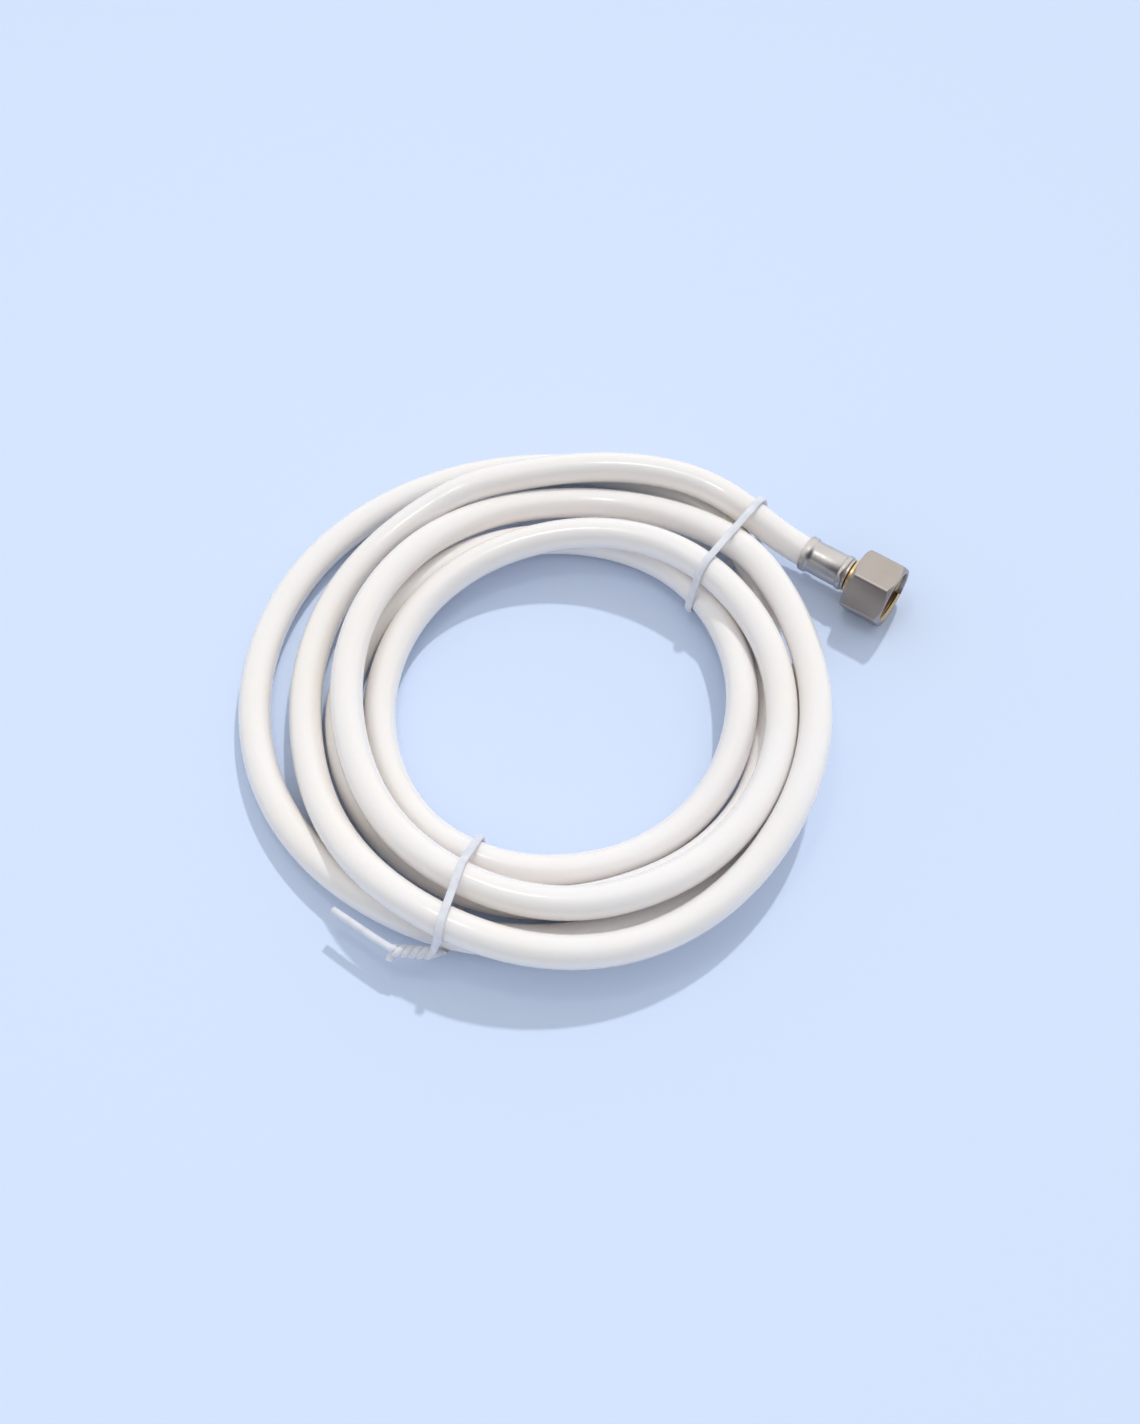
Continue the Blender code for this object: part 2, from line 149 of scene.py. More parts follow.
class HoseSettings(bpy.types.PropertyGroup):
    outside: length("Outside diameter", "Outside diameter of the hose in millimetres", 12.0)
    wall: length("Wall", "Wall of the hose in millimetres", 2.0)
    inner_turn: length("Inner turn", "Radius of the innermost turn in millimetres", 66.2)
    turn_gap: length("Turn gap", "Air between turns side by side in millimetres", 0.4)
    tail: length("Tail", "Straight length before the fitting in millimetres", 41.4)
    points: IntProperty(
        name="Points a turn",
        description="Points of the hose's line in each turn",
        default=120,
        min=24,
        max=120,
    )
    sides: IntProperty(
        name="Sides", description="Sides of the hose's round section", default=32, min=12, max=48
    )
    colour: FloatVectorProperty(
        name="Colour",
        description="Colour of the polyurethane",
        default=(0.925, 0.88, 0.86),
        size=3,
        subtype="COLOR",
        min=0.0,
        max=1.0,
    )


class FittingSettings(bpy.types.PropertyGroup):
    neck: length("Neck", "Diameter of the nipple's neck in millimetres", 12.2)
    thread_pitch: length("Thread pitch", "Pitch of the nut's thread in millimetres", 1.814)
    thread_depth: length("Thread depth", "Depth of the nut's thread in millimetres", 1.16)
    across_flats: length("Across flats", "Distance across the nut's flats in millimetres", 24.0)
    segments: IntProperty(
        name="Segments", description="Segments round each turned piece", default=96, min=32, max=128
    )
    steel: FloatVectorProperty(
        name="Ferrule colour",
        description="Colour of the crimped sleeve",
        default=(0.57, 0.545, 0.53),
        size=3,
        subtype="COLOR",
        min=0.0,
        max=1.0,
    )
    nickel: FloatVectorProperty(
        name="Nut colour",
        description="Colour of the nut's nickel plating",
        default=(0.43, 0.39, 0.365),
        size=3,
        subtype="COLOR",
        min=0.0,
        max=1.0,
    )
    brass: FloatVectorProperty(
        name="Brass colour",
        description="Colour of the bare brass",
        default=(0.76, 0.55, 0.29),
        size=3,
        subtype="COLOR",
        min=0.0,
        max=1.0,
    )


class TieSettings(bpy.types.PropertyGroup):
    width: length("Width", "Width of the tie's ribbon in millimetres", 2.9)
    thickness: length("Thickness", "Thickness of the tie's ribbon in millimetres", 1.1)
    core: length("Core", "Diameter over the wire in the ribbon's middle in millimetres", 1.7)
    twisted: length("Twisted", "Thickness of the rolled ribbon in the twist in millimetres", 2.4)
    colour: FloatVectorProperty(
        name="Colour",
        description="Colour of the tie's coating",
        default=(0.80, 0.81, 0.86),
        size=3,
        subtype="COLOR",
        min=0.0,
        max=1.0,
    )


class StageSettings(bpy.types.PropertyGroup):
    floor: FloatVectorProperty(
        name="Floor colour",
        description="Colour of the floor",
        default=(0.69, 0.79, 0.98),
        size=3,
        subtype="COLOR",
        min=0.0,
        max=1.0,
    )
    sun: FloatProperty(name="Sun", description="Strength of the main lamp", default=1.2, min=0.0)
    fill: FloatProperty(
        name="Fill", description="Strength of the soft light all round", default=0.68, min=0.0
    )
    softbox: FloatProperty(
        name="Softbox", description="Power of the small softbox overhead in watts", default=0.4, min=0.0
    )
    distance: FloatProperty(
        name="Camera distance",
        description="Distance from the camera to its target",
        default=0.6,
        unit="LENGTH",
        subtype="DISTANCE",
    )
    lens: FloatProperty(
        name="Lens", description="Focal length of the camera's lens in millimetres", default=40.04, min=1.0
    )


# The hose's route


def between_stations(lays, place):
    """A smooth curve through the lays, read at a place counted in stations."""
    first = min(int(place), len(lays) - 2)
    share = place - first
    start, end = lays[first], lays[first + 1]
    slope_in = (end - lays[first - 1]) / 2 if first > 0 else 0.0
    slope_out = (lays[first + 2] - start) / 2 if first + 2 < len(lays) else end - start
    return (
        (1 + 2 * share) * (1 - share) ** 2 * start
        + share * (1 - share) ** 2 * slope_in
        + share * share * (3 - 2 * share) * end
        + share * share * (share - 1) * slope_out
    )


def rise_over_ties(angle, rise):
    """How far the lowest turns are lifted at an angle by the tie wires that pass under them."""
    total = 0.0
    for tie in TIES.values():
        middle = (tie["outer_angle"] + tie["inner_angle"]) / 2
        away = abs((angle - middle + 180.0) % 360.0 - 180.0)
        share = min(max((RISE_END - away) / (RISE_END - RISE_LEVEL), 0.0), 1.0)
        total += rise * share * share * (3.0 - 2.0 * share)
    return total


def settled_heights(angles, radii, radius, pitch, rise):
    """Centreline heights of the coil, with each turn resting on the later turns that it crosses."""
    per_turn = STATIONS_PER_TURN * STEPS_PER_STATION
    floor = np.array([radius + rise_over_ties(angle, rise) for angle in angles])
    heights = floor.copy()
    for _ in range(SETTLING_PASSES):
        needed = floor.copy()
        for upper in range(len(angles)):
            for lower in range(upper + per_turn, len(angles), per_turn):
                apart = abs(radii[upper] - radii[lower])
                if apart < pitch:
                    needed[upper] = max(needed[upper], heights[lower] + math.sqrt(pitch**2 - apart**2))
        eased = np.convolve(np.pad(heights, len(EASING) // 2, mode="edge"), EASING, "valid")
        heights = np.maximum(needed, eased)
    return heights


def hose_line(settings):
    """The hose's centreline from the ferrule to its free end, and the coil's centre on the floor."""
    radius = settings.outside * MM / 2
    pitch = (settings.outside + settings.turn_gap) * MM
    inner = settings.inner_turn * MM
    tail = settings.tail * MM
    lays = [lay for turn in LAYS for lay in turn] + [LAST_LAY]
    centre = Vector((MOUTH.x - tail, AXIS_Y - inner - pitch * lays[0], 0.0))
    places = [step / STEPS_PER_STATION for step in range((len(lays) - 1) * STEPS_PER_STATION + 1)]
    angles = [90.0 + place * 360.0 / STATIONS_PER_TURN for place in places]
    radii = [inner + pitch * between_stations(lays, place) for place in places]
    heights = settled_heights(angles, radii, radius, pitch, TIE_WIRE + TIE_CLEARANCE + SEAT_GAP)
    every = max(STATIONS_PER_TURN * STEPS_PER_STATION // settings.points, 1)
    picked = [*range(0, len(places) - 1, every), len(places) - 1]
    turns = [centre + polar(radii[i], angles[i]) + Vector((0.0, 0.0, heights[i])) for i in picked]
    line = [Vector((MOUTH.x + (FERRULE_HIGH.x - MOUTH.x) * 0.9, AXIS_Y, AXIS_Z))]
    for step in range(TAIL_STEPS):
        share = step / TAIL_STEPS
        eased = share * share * (3.0 - 2.0 * share)
        line.append(Vector((MOUTH.x - tail * share, AXIS_Y, AXIS_Z + (turns[0].z - AXIS_Z) * eased)))
    return line + turns, centre


def polar(radius, angle):
    """A step along the floor, from its length and its angle in degrees."""
    return Vector((radius * math.cos(math.radians(angle)), radius * math.sin(math.radians(angle)), 0.0))


# Node materials


def new_material(name, colour, roughness, metallic=0.0):
    """A plain material, with its node tree and its shader to build on."""
    made = bpy.data.materials.new(name)
    made.use_nodes = True
    shader = made.node_tree.nodes["Principled BSDF"]
    shader.inputs["Base Color"].default_value = (*colour, 1.0)
    shader.inputs["Roughness"].default_value = roughness
    shader.inputs["Metallic"].default_value = metallic
    return made, made.node_tree, shader


def noise(tree, scale, detail=3.0, stretch=(1.0, 1.0, 1.0), turn=(0.0, 0.0, 0.0), shift=(0.0, 0.0, 0.0)):
    """Noise on the piece's own coordinates, stretched and turned about a point."""
    coordinates = tree.nodes.new("ShaderNodeTexCoord")
    mapping = tree.nodes.new("ShaderNodeMapping")
    mapping.inputs["Location"].default_value = shift
    mapping.inputs["Rotation"].default_value = turn
    mapping.inputs["Scale"].default_value = stretch
    tree.links.new(coordinates.outputs["Object"], mapping.inputs["Vector"])
    made = tree.nodes.new("ShaderNodeTexNoise")
    made.inputs["Scale"].default_value = scale
    made.inputs["Detail"].default_value = detail
    tree.links.new(mapping.outputs["Vector"], made.inputs["Vector"])
    return made.outputs["Fac"]


def ramp(tree, value, low, high, start=0.3, end=0.7):
    """A colour or grey value that runs from low to high as the noise goes from start to end."""
    made = tree.nodes.new("ShaderNodeValToRGB")
    made.color_ramp.elements[0].position = start
    made.color_ramp.elements[1].position = end
    made.color_ramp.elements[0].color = (*low, 1.0) if isinstance(low, tuple) else (low, low, low, 1.0)
    made.color_ramp.elements[1].color = (*high, 1.0) if isinstance(high, tuple) else (high, high, high, 1.0)
    tree.links.new(value, made.inputs["Fac"])
    return made.outputs["Color"]


def bump(tree, shader, layers):
    """Adds up bumps, each a height value with its strength and its distance in metres."""
    normal = None
    for height, strength, distance in layers:
        made = tree.nodes.new("ShaderNodeBump")
        made.inputs["Strength"].default_value = strength
        made.inputs["Distance"].default_value = distance
        tree.links.new(height, made.inputs["Height"])
        if normal is not None:
            tree.links.new(normal, made.inputs["Normal"])
        normal = made.outputs["Normal"]
    tree.links.new(normal, shader.inputs["Normal"])


def tinted(colour, factor):
    """The colour made darker or lighter by a factor."""
    return tuple(min(channel * factor, 1.0) for channel in colour)


def polyurethane(settings):
    """Glossy ivory polyurethane with faint waviness from its extrusion and a slightly uneven gloss."""
    colour = tuple(settings.colour)
    made, tree, shader = new_material("ivory_polyurethane", colour, 0.2)
    cloud = noise(tree, 18.0, 2.0)
    warm = (min(colour[0] * 1.01, 1.0), colour[1] * 0.995, colour[2] * 0.96)
    tree.links.new(ramp(tree, cloud, warm, tinted(colour, 1.02)), shader.inputs["Base Color"])
    gloss = noise(tree, 90.0, 4.0)
    tree.links.new(ramp(tree, gloss, 0.14, 0.27), shader.inputs["Roughness"])
    shader.inputs["IOR"].default_value = 1.5
    shader.inputs["Coat Weight"].default_value = 0.5
    shader.inputs["Coat Roughness"].default_value = 0.08
    shader.inputs["Subsurface Weight"].default_value = 0.3
    shader.inputs["Subsurface Radius"].default_value = (1.0, 0.8, 0.6)
    shader.inputs["Subsurface Scale"].default_value = 0.002
    ripple = noise(tree, 120.0, 2.0)
    peel = noise(tree, 900.0, 2.0)
    bump(tree, shader, [(ripple, 0.12, 0.0004), (peel, 0.06, 0.00008)])
    return made


def turned_metal(name, colour, roughness, worn=0.06):
    """Plated metal with fine turning lines round the fitting's axis and slight clouding."""
    made, tree, shader = new_material(name, colour, roughness, 1.0)
    cloud = noise(tree, 160.0, 4.0)
    shades = ramp(tree, cloud, tinted(colour, 1.0 - worn), tinted(colour, 1.0 + worn / 2))
    tree.links.new(shades, shader.inputs["Base Color"])
    lines = noise(tree, 1500.0, 2.0, stretch=(1.0, 0.01, 0.01))
    tree.links.new(ramp(tree, lines, roughness * 0.9, roughness * 1.15), shader.inputs["Roughness"])
    grain = noise(tree, 1400.0, 3.0)
    bump(tree, shader, [(lines, 0.05, 0.00002), (grain, 0.03, 0.00001)])
    return made


def drawn_metal(name, colour, roughness):
    """Nickel over drawn hexagonal bar: fine lines along the nut, with soft clouding and a few scuffs."""
    made, tree, shader = new_material(name, colour, roughness, 1.0)
    cloud = noise(tree, 120.0, 5.0)
    warm = (colour[0] * 0.97, colour[1] * 0.96, colour[2] * 0.95)
    tree.links.new(ramp(tree, cloud, warm, tinted(colour, 1.03)), shader.inputs["Base Color"])
    lines = noise(tree, 2200.0, 2.0, stretch=(0.03, 1.0, 1.0))
    scuffs = noise(tree, 380.0, 6.0)
    mixed = tree.nodes.new("ShaderNodeMath")
    mixed.operation = "ADD"
    tree.links.new(lines, mixed.inputs[0])
    tree.links.new(scuffs, mixed.inputs[1])
    halved = tree.nodes.new("ShaderNodeMath")
    halved.operation = "MULTIPLY"
    halved.inputs[1].default_value = 0.5
    tree.links.new(mixed.outputs[0], halved.inputs[0])
    gloss = ramp(tree, halved.outputs[0], roughness * 0.92, roughness * 1.12, 0.35, 0.65)
    tree.links.new(gloss, shader.inputs["Roughness"])
    bump(tree, shader, [(lines, 0.08, 0.00002), (scuffs, 0.04, 0.00002)])
    return made


def washer_rubber():
    """Dull black rubber with a fine grain."""
    made, tree, shader = new_material("black_rubber", (0.025, 0.025, 0.027), 0.62)
    grain = noise(tree, 1500.0, 4.0)
    tree.links.new(ramp(tree, grain, (0.018, 0.018, 0.02), (0.04, 0.04, 0.043)), shader.inputs["Base Color"])
    tree.links.new(ramp(tree, grain, 0.5, 0.75), shader.inputs["Roughness"])
    bump(tree, shader, [(grain, 0.3, 0.00006)])
    return made


def tie_coating(settings):
    """Cool white plastic coating over a wire, slightly creased."""
    colour = tuple(settings.colour)
    made, tree, shader = new_material("tie_coating", colour, 0.42)
    cloud = noise(tree, 240.0, 4.0)
    shades = ramp(tree, cloud, tinted(colour, 0.88), tinted(colour, 1.04))
    tree.links.new(shades, shader.inputs["Base Color"])
    tree.links.new(ramp(tree, cloud, 0.34, 0.52), shader.inputs["Roughness"])
    creases = noise(tree, 520.0, 4.0)
    bump(tree, shader, [(creases, 0.35, 0.00012)])
    return made


# Making meshes


def finish_mesh(name, shape, body, skin, replaced, smooth_angle=35.0):
    """Turns a bmesh into a piece that rides on a body, takes a material and stands for CAD nodes."""
    bmesh.ops.remove_doubles(shape, verts=shape.verts, dist=1e-7)
    bmesh.ops.recalc_face_normals(shape, faces=shape.faces)
    mesh = bpy.data.meshes.new(name)
    for face in shape.faces:
        face.smooth = True
    sharp = math.radians(smooth_angle)
    for edge in shape.edges:
        if len(edge.link_faces) == 2 and edge.calc_face_angle() > sharp:
            edge.smooth = False
    shape.to_mesh(mesh)
    shape.free()
    mesh.materials.append(skin)
    made = bpy.data.objects.new(name, mesh)
    bpy.context.scene.collection.objects.link(made)
    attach(made, body)
    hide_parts(*replaced)


def spun(profile, segments):
    """A bmesh of a closed profile of (along, radius) points, spun about the fitting's axis."""
    shape = bmesh.new()
    corners = [shape.verts.new((MOUTH.x + along, AXIS_Y, AXIS_Z + radius)) for along, radius in profile]
    for index, corner in enumerate(corners):
        shape.edges.new((corner, corners[(index + 1) % len(corners)]))
    bmesh.ops.spin(
        shape,
        geom=[*shape.verts, *shape.edges],
        cent=(0.0, AXIS_Y, AXIS_Z),
        axis=(1.0, 0.0, 0.0),
        angle=math.tau,
        steps=segments,
        use_merge=True,
        use_duplicate=False,
    )
    return shape


class HOSE_OT_add_hose(bpy.types.Operator):
    """Adds the coiled hose, from its squeezed end in the ferrule to its square-cut free end"""

    bl_idname = "hose.add_hose"
    bl_label = "Add hose"

    def execute(self, context):
        settings = context.scene.hose_settings
        line, _ = hose_line(settings)
        data = bpy.data.curves.new("coiled_hose", "CURVE")
        data.dimensions = "3D"
        data.bevel_depth = settings.outside * MM / 2
        data.bevel_resolution = (settings.sides - 4) // 2
        spline = data.splines.new("POLY")
        spline.points.add(len(line) - 1)
        for point, place in zip(spline.points, line):
            point.co = (*place, 1.0)
            in_ferrule = place.x > MOUTH.x + SQUEEZE_START and place.y > AXIS_Y - MM
            point.radius = SQUEEZED if in_ferrule else 1.0
        spline.use_smooth = True
        data.materials.append(polyurethane(settings))
        hose = bpy.data.objects.new("coiled_hose", data)
        context.scene.collection.objects.link(hose)
        wall = hose.modifiers.new("wall", "SOLIDIFY")
        wall.thickness = settings.wall * MM
        wall.offset = -1.0
        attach(hose, "hose_and_fitting")
        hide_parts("hose")
        return {"FINISHED"}


class HOSE_OT_add_ferrule(bpy.types.Operator):
    """Adds the crimped sleeve, with its flared mouth and its raised ring at the nut's end"""

    bl_idname = "hose.add_ferrule"
    bl_label = "Add ferrule"

    def execute(self, context):
        fitting = context.scene.fitting_settings
        end = (FERRULE_HIGH.x - FERRULE_LOW.x) / MM
        profile = [
            (0.0, 6.35),
            (0.15, 6.85),
            (0.6, 7.15),
            (2.6, 7.2),
            (3.1, 7.05),
            (3.45, 6.7),
            (3.7, 6.52),
            (4.4, 6.5),
            (9.0, 6.56),
            (end - 4.0, 6.6),
            (end - 3.6, 6.45),
            (end - 3.25, 6.8),
            (end - 2.8, 7.05),
            (end - 2.2, 7.15),
            (end - 1.6, 7.05),
            (end - 1.15, 6.75),
            (end - 0.9, 6.5),
            (end - 0.2, 6.5),
            (end, 6.3),
            (end, 3.92),
            (end - 1.6, 3.92),
            (end - 1.6, 6.0),
            (3.0, 6.0),
            (1.8, 6.3),
        ]
        shape = spun([(along * MM, radius * MM) for along, radius in profile], fitting.segments)
        skin = turned_metal("ferrule_steel_turned", tuple(fitting.steel), 0.34)
        finish_mesh("crimped_ferrule", shape, "hose_and_fitting", skin, ["ferrule"])
        return {"FINISHED"}


class HOSE_OT_add_nipple(bpy.types.Operator):
    """Adds the brass nipple: its barbed tail in the hose, its neck, and its flange and bore in the nut"""

    bl_idname = "hose.add_nipple"
    bl_label = "Add nipple"

    def execute(self, context):
        fitting = context.scene.fitting_settings
        tip = (NIPPLE_LOW.x - MOUTH.x) / MM
        face = (NIPPLE_HIGH.x - MOUTH.x) / MM
        sleeve = (FERRULE_HIGH.x - MOUTH.x) / MM
        flange = (NIPPLE_HIGH.z - NIPPLE_LOW.z) / 2 / MM
        neck = fitting.neck / 2
        barb, valley, bore, collar = 3.2, 2.75, 2.1, 3.6
        hose_end = sleeve - 1.9
        pitch = (hose_end - tip) / 4.5
        profile = [(tip, bore), (tip, valley)]
        for number in range(3, -1, -1):
            top = hose_end - pitch * (number + 0.5)
            profile += [
                (top - pitch * 0.8, valley),
                (top - 0.15, barb),
                (top, barb - 0.08),
                (top + 0.03, valley),
            ]
        profile += [
            (hose_end, valley),
            (hose_end + 0.3, collar),
            (sleeve + 0.3, collar),
            (sleeve + 0.3, neck - 0.2),
            (sleeve + 0.5, neck),
            (sleeve + 0.6, neck + 0.65),
            (sleeve + 0.75, neck + 0.8),
            (sleeve + 1.75, neck + 0.8),
            (sleeve + 1.9, neck + 0.65),
            (sleeve + 1.95, neck),
            (face - 2.9, neck),
            (face - 2.5, neck + 0.2),
            (face - 2.5, flange - 0.25),
            (face - 2.25, flange),
            (face - 0.4, flange),
            (face, flange - 0.4),
            (face, bore + 0.4),
            (face - 0.4, bore),
        ]
        shape = spun([(along * MM, radius * MM) for along, radius in profile], fitting.segments)
        skin = turned_metal("brass_turned", tuple(fitting.brass), 0.3, worn=0.12)
        finish_mesh("brass_nipple", shape, "hose_and_fitting", skin, ["nipple"])
        return {"FINISHED"}


class HOSE_OT_add_washer(bpy.types.Operator):
    """Adds the flat sealing washer that lies in the nut on the nipple's flange"""

    bl_idname = "hose.add_washer"
    bl_label = "Add washer"

    def execute(self, context):
        fitting = context.scene.fitting_settings
        low = (WASHER_LOW.x - MOUTH.x) / MM
        high = (WASHER_HIGH.x - MOUTH.x) / MM
        outer = (WASHER_HIGH.z - WASHER_LOW.z) / 2 / MM
        inner, edge = 4.0, 0.25
        profile = [
            (low, inner + edge),
            (low + edge, inner),
            (high - edge, inner),
            (high, inner + edge),
            (high, outer - edge),
            (high - edge, outer),
            (low + edge, outer),
            (low, outer - edge),
        ]
        shape = spun([(along * MM, radius * MM) for along, radius in profile], fitting.segments)
        skin = washer_rubber()
        finish_mesh("rubber_washer", shape, "hose_and_fitting", skin, ["sealing_washer"])
        return {"FINISHED"}


def cut_with(shape, tool, operation, name):
    """The result of an exact Boolean between two bmeshes, as a new bmesh."""
    made = []
    for part, suffix in ((shape, "_body"), (tool, "_tool")):
        bmesh.ops.recalc_face_normals(part, faces=part.faces)
        mesh = bpy.data.meshes.new(name + suffix)
        part.to_mesh(mesh)
        part.free()
        item = bpy.data.objects.new(name + suffix, mesh)
        bpy.context.scene.collection.objects.link(item)
        made.append(item)
    step = made[0].modifiers.new("cut", "BOOLEAN")
    step.object = made[1]
    step.operation = operation
    step.solver = "EXACT"
    bpy.context.view_layer.update()
    depsgraph = bpy.context.evaluated_depsgraph_get()
    result = bmesh.new()
    result.from_object(made[0], depsgraph)
    for item in made:
        mesh = item.data
        bpy.data.objects.remove(item, do_unlink=True)
        bpy.data.meshes.remove(mesh)
    return result


class HOSE_OT_add_nut(bpy.types.Operator):
    """Adds the hexagonal swivel nut, with its rounded corners, its threaded socket and its neck hole"""

    bl_idname = "hose.add_nut"
    bl_label = "Add swivel nut"

    def execute(self, context):
        fitting = context.scene.fitting_settings
        low, high = NUT_LOW.x - MOUTH.x, NUT_HIGH.x - MOUTH.x
        long = high - low
        corner = fitting.across_flats * MM / math.sqrt(3)
        turn = Matrix.Rotation(math.radians(90.0), 4, "Y")
        place = Matrix.Translation((MOUTH.x + low + long / 2, AXIS_Y, AXIS_Z)) @ turn
        shape = bmesh.new()
        bmesh.ops.create_cone(
            shape, cap_ends=True, segments=6, radius1=corner, radius2=corner, depth=long, matrix=place
        )
        sides = [edge for edge in shape.edges if abs((edge.verts[0].co - edge.verts[1].co).x) > long / 2]
        bmesh.ops.bevel(
            shape, geom=sides, offset=1.0 * MM, affect="EDGES", segments=4, profile=0.5, material=-1
        )
        rim = fitting.across_flats * MM / 2 - 0.15 * MM
        waist = corner + 0.4 * MM
        slope = 1.75 * MM
        rounding = spun(
            [
                (low - MM, ON_AXIS),
                (low - MM, rim),
                (low, rim),
                (low + slope * 1.15, waist),
                (high - slope * 1.15, waist),
                (high, rim),
                (high + MM, rim),
                (high + MM, ON_AXIS),
            ],
            fitting.segments,
        )
        shape = cut_with(shape, rounding, "INTERSECT", "nut_rounding")
        web = 3.0 * MM
        minor = (WASHER_HIGH.z - WASHER_LOW.z) / 2 + 0.4 * MM
        major = minor + fitting.thread_depth * MM
        hole = fitting.neck / 2 * MM + 0.35 * MM
        relief = WASHER_HIGH.x - MOUTH.x + 0.5 * MM
        bore = spun(
            [
                (high + MM, ON_AXIS),
                (high + MM, major + 1.3 * MM),
                (high, major + 0.25 * MM),
                (high - 0.6 * MM, major),
                (relief + 0.6 * MM, major),
                (relief, minor),
                (low + web, minor),
                (low + web, hole),
                (low + 0.5 * MM, hole),
                (low - 0.01 * MM, hole + 0.5 * MM),
                (low - MM, hole + 0.5 * MM),
                (low - MM, ON_AXIS),
            ],
            fitting.segments,
        )
        shape = cut_with(shape, bore, "DIFFERENCE", "nut_bore")
        skin = drawn_metal("nut_nickel_drawn", tuple(fitting.nickel), 0.36)
        finish_mesh("hexagonal_nut", shape, "nut", skin, ["swivel_nut"], 24.0)
        self.add_thread(fitting, relief, high, major)
        return {"FINISHED"}

    def add_thread(self, fitting, start, end, major):
        """One ridge of 55 degree thread, wound from the mouth to the relief behind it."""
        pitch = fitting.thread_pitch * MM
        depth = fitting.thread_depth * MM
        turns = (end - start - 1.6 * MM) / pitch
        shape = bmesh.new()
        base = start + 0.9 * MM
        root = major + 0.12 * MM
        crest = major - depth
        profile = [
            (base - pitch * 0.46, root),
            (base - pitch * 0.07, crest),
            (base + pitch * 0.07, crest),
            (base + pitch * 0.46, root),
        ]
        corners = [shape.verts.new((MOUTH.x + along, AXIS_Y, AXIS_Z + radius)) for along, radius in profile]
        face = shape.faces.new(corners)
        steps = max(int(turns * 48), 1)
        bmesh.ops.spin(
            shape,
            geom=[face],
            cent=(0.0, AXIS_Y, AXIS_Z),
            axis=(1.0, 0.0, 0.0),
            angle=math.tau * turns,
            dvec=(pitch * turns / steps, 0.0, 0.0),
            steps=steps,
            use_duplicate=False,
        )
        skin = turned_metal("thread_brass", tuple(fitting.brass), 0.3)
        finish_mesh("nut_thread", shape, "nut", skin, [], 30.0)


# The twist ties


def crossings(line, outer, inner, radius, inner_turn):
    """Where the hose passes a tie's upright plane: distance inwards, height and half the slanted width."""
    inward = (inner - outer).normalized()
    normal = Vector((-inward.y, inward.x, 0.0))
    found = []
    for start, end in zip(line, line[1:]):
        before, after = (start - outer).dot(normal), (end - outer).dot(normal)
        if before * after > 0.0 or before == after:
            continue
        place = start.lerp(end, before / (before - after))
        inwards = (place - outer).dot(inward)
        if inwards < (inner - outer).length + inner_turn / 2:
            slant = abs((end - start).normalized().dot(normal))
            found.append((inwards, place.z, radius / slant))
    return found


def loose_end(place, heading, steps):
    """Points of a tie's loose end, from steps of length and rise in wires and of turn in degrees."""
    made = []
    for long, turn, rise in steps:
        heading += math.radians(turn)
        place = place + Vector((math.cos(heading) * long, math.sin(heading) * long, rise)) * TIE_WIRE
        made.append(place)
    return made


def tie_path(tie, line, centre, hose):
    """Places along a tie from end to end, each with its flat side's facing and its roundness."""
    radius = hose.outside * MM / 2
    inner_turn = hose.inner_turn * MM
    pitch = (hose.outside + hose.turn_gap) * MM
    outer = centre + polar(inner_turn + pitch * LAYS[0][0], tie["outer_angle"])
    inner = centre + polar(inner_turn, tie["inner_angle"])
    inward = (inner - outer).normalized()
    found = crossings(line, outer, inner, radius, inner_turn)
    lift = TIE_WIRE / 2 + TIE_CLEARANCE
    up_axis = Vector((0.0, 0.0, 1.0))
    loop = []
    for step in range(LOOP_STEPS + 1):
        angle = math.radians(LOOP_START + (tie["loop_end"] - LOOP_START) * step / LOOP_STEPS)
        across, up = math.cos(angle), math.sin(angle)
        inwards, height, half = max(
            found,
            key=lambda spot: spot[0] * across + spot[1] * up + math.hypot(spot[2] * across, radius * up),
        )
        reach = math.hypot(half * across, radius * up)
        inwards += (half * half / reach + lift) * across
        height += (radius * radius / reach + lift) * up
        loop.append((outer + inward * inwards + up_axis * height, inward * across + up_axis * up, 0.0))
    twist_radius = TIE_WIRE / 2 + 0.2 * MM
    twist_pitch = TWIST_PITCH * TIE_WIRE
    height = max(tie["twist_height"] * hose.outside * MM, twist_radius + TIE_WIRE / 2 + SEAT_GAP)
    heading = math.radians(tie["outer_angle"] - 90.0 + tie["splay"])
    along = Vector((math.cos(heading), math.sin(heading), 0.0))
    side = Vector((-along.y, along.x, 0.0))
    outward = polar(1.0, tie["outer_angle"])
    foot = max(loop[0][0], loop[-1][0], key=outward.dot)
    root = Vector((foot.x, foot.y, height)) + outward * TIE_WIRE / 2 + along * TIE_WIRE
    count = round(tie["twist_turns"] * TWIST_STEPS)

    def strand(phase):
        made = []
        for step in range(count + 1):
            turn = math.tau * step / TWIST_STEPS + phase
            facing = up_axis * math.cos(turn) + side * math.sin(turn)
            middle = root + along * (twist_pitch * step / TWIST_STEPS)
            made.append((middle + facing * twist_radius, facing, 1.0))
        return made

    upper, lower = strand(0.0), strand(math.pi)
    short_end = [(place, upper[-1][1], 1.0) for place in loose_end(upper[-1][0], heading, tie["short_end"])]
    long_end = [(place, lower[-1][1], 0.9) for place in loose_end(lower[-1][0], heading, tie["long_end"])]
    return short_end[::-1] + upper[::-1] + loop + lower + long_end


